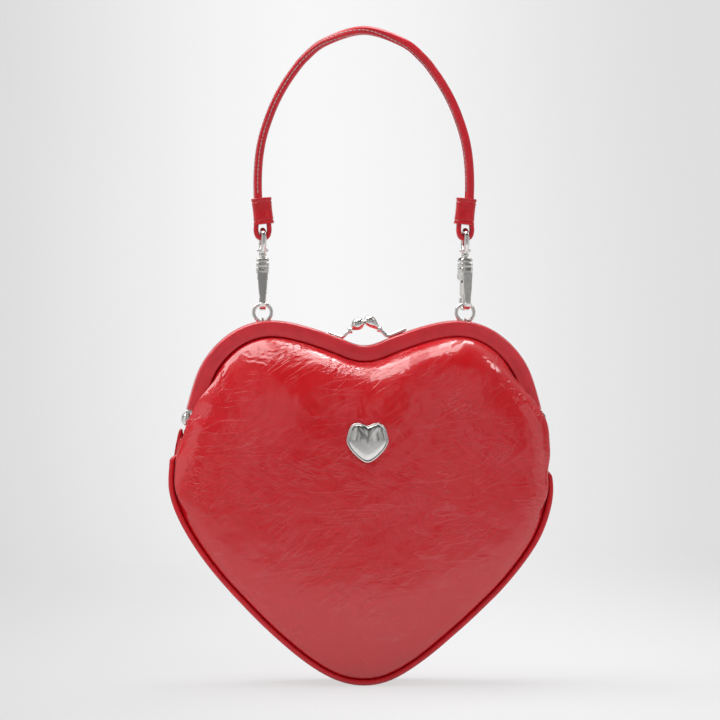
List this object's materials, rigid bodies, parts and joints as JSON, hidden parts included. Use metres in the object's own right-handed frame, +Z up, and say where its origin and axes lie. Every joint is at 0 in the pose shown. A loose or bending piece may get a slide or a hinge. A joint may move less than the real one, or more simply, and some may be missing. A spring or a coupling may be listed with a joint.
{
  "type": "heart shaped purse",
  "caption": "Small heart shaped frame purse in glossy leather, with a kiss clasp, side hinges and an arched top handle clipped to two rings.",
  "frame": {"origin": "underside of the handle at its apex, where a hand or a peg carries it", "axes": "+X to the viewer's right, the front faces -Y, +Z up"},
  "size_m": [0.205, 0.0709, 0.3498],
  "materials": {
    "panel_leather": "glossy crinkled patent leather",
    "gusset_leather": "glossy crinkled patent leather",
    "piping_leather": "glossy crinkled patent leather",
    "frame_leather": "smooth glossy leather",
    "strap_leather": "smooth glossy leather",
    "keeper_leather": "smooth glossy leather",
    "lining": "woven lining",
    "filler": "cotton cord",
    "frame_metal": "polished nickel",
    "clasp_metal": "polished nickel",
    "hook_metal": "polished nickel",
    "ring_metal": "polished nickel",
    "plaque_metal": "polished nickel"
  },
  "bodies": {
    "handle": {"handle_strap": "strap_leather", "handle_filler": "filler", "left_keeper": "keeper_leather", "right_keeper": "keeper_leather"},
    "left_eye": {"left_eye": "hook_metal"},
    "right_eye": {"right_eye": "hook_metal"},
    "left_hook": {"left_hook": "hook_metal", "left_gate_pin": "hook_metal"},
    "right_hook": {"right_hook": "hook_metal", "right_gate_pin": "hook_metal"},
    "left_gate": {"left_gate": "hook_metal"},
    "right_gate": {"right_gate": "hook_metal"},
    "left_ring": {"left_ring": "ring_metal"},
    "right_ring": {"right_ring": "ring_metal"},
    "purse": {"rear_frame": "frame_metal", "rear_frame_cover": "frame_leather", "left_hinge_pin": "frame_metal", "right_hinge_pin": "frame_metal", "left_ring_lug": "frame_metal", "right_ring_lug": "frame_metal", "rear_clasp": "clasp_metal", "front_panel": "panel_leather", "back_panel": "panel_leather", "gusset": "gusset_leather", "front_piping": "piping_leather", "back_piping": "piping_leather", "front_lining": "lining", "back_lining": "lining", "gusset_lining": "lining", "plaque": "plaque_metal", "plaque_backing": "plaque_metal"},
    "front_half": {"front_frame": "frame_metal", "front_frame_cover": "frame_leather", "front_clasp": "clasp_metal", "front_panel_top": "panel_leather", "front_lining_top": "lining"}
  },
  "joints": [
    {"name": "left_eye_swing", "type": "hinge", "parent": "handle", "child": "left_eye", "pos_m": [-0.054, 0, -0.10865], "axis": [1, 0, 0], "range_deg": [-60, 60]},
    {"name": "right_eye_swing", "type": "hinge", "parent": "handle", "child": "right_eye", "pos_m": [0.054, 0, -0.10865], "axis": [1, 0, 0], "range_deg": [-60, 60]},
    {"name": "left_hook_swivel", "type": "hinge", "parent": "left_eye", "child": "left_hook", "pos_m": [-0.054, 0, -0.11835], "axis": [0, 0, 1], "range_deg": [-25, 25]},
    {"name": "right_hook_swivel", "type": "hinge", "parent": "right_eye", "child": "right_hook", "pos_m": [0.054, 0, -0.11835], "axis": [0, 0, 1], "range_deg": [-45, 5]},
    {"name": "left_gate_press", "type": "hinge", "parent": "left_hook", "child": "left_gate", "pos_m": [-0.054, 0.0032, -0.12905], "axis": [-1, 0, 0], "range_deg": [0, 13], "stiffness_Nm_per_rad": 0.02, "springref_deg": -17.19},
    {"name": "right_gate_press", "type": "hinge", "parent": "right_hook", "child": "right_gate", "pos_m": [0.05291, 0.00301, -0.12905], "axis": [-0.9397, -0.342, 0], "range_deg": [0, 13], "stiffness_Nm_per_rad": 0.02, "springref_deg": -17.19},
    {"name": "left_ring_rock", "type": "hinge", "parent": "left_eye", "child": "left_ring", "pos_m": [-0.054, 0, -0.14347], "axis": [1, 0, 0], "range_deg": [-25, 25]},
    {"name": "right_ring_rock", "type": "hinge", "parent": "right_eye", "child": "right_ring", "pos_m": [0.054, 0, -0.14347], "axis": [1, 0, 0], "range_deg": [-25, 25]},
    {"name": "purse_swing", "type": "hinge", "parent": "left_ring", "child": "purse", "pos_m": [-0.054, 0, -0.15287], "axis": [1, 0, 0], "range_deg": [-35, 35]},
    {"name": "frame_open", "type": "hinge", "parent": "purse", "child": "front_half", "pos_m": [0, -0.0025, -0.2047], "axis": [1, 0, 0], "range_deg": [0, 50]}
  ],
  "couplings": [
    {"joint": "right_eye_swing", "follows": "left_eye_swing", "ratio": 1},
    {"joint": "right_ring_rock", "follows": "left_ring_rock", "ratio": 1}
  ]
}
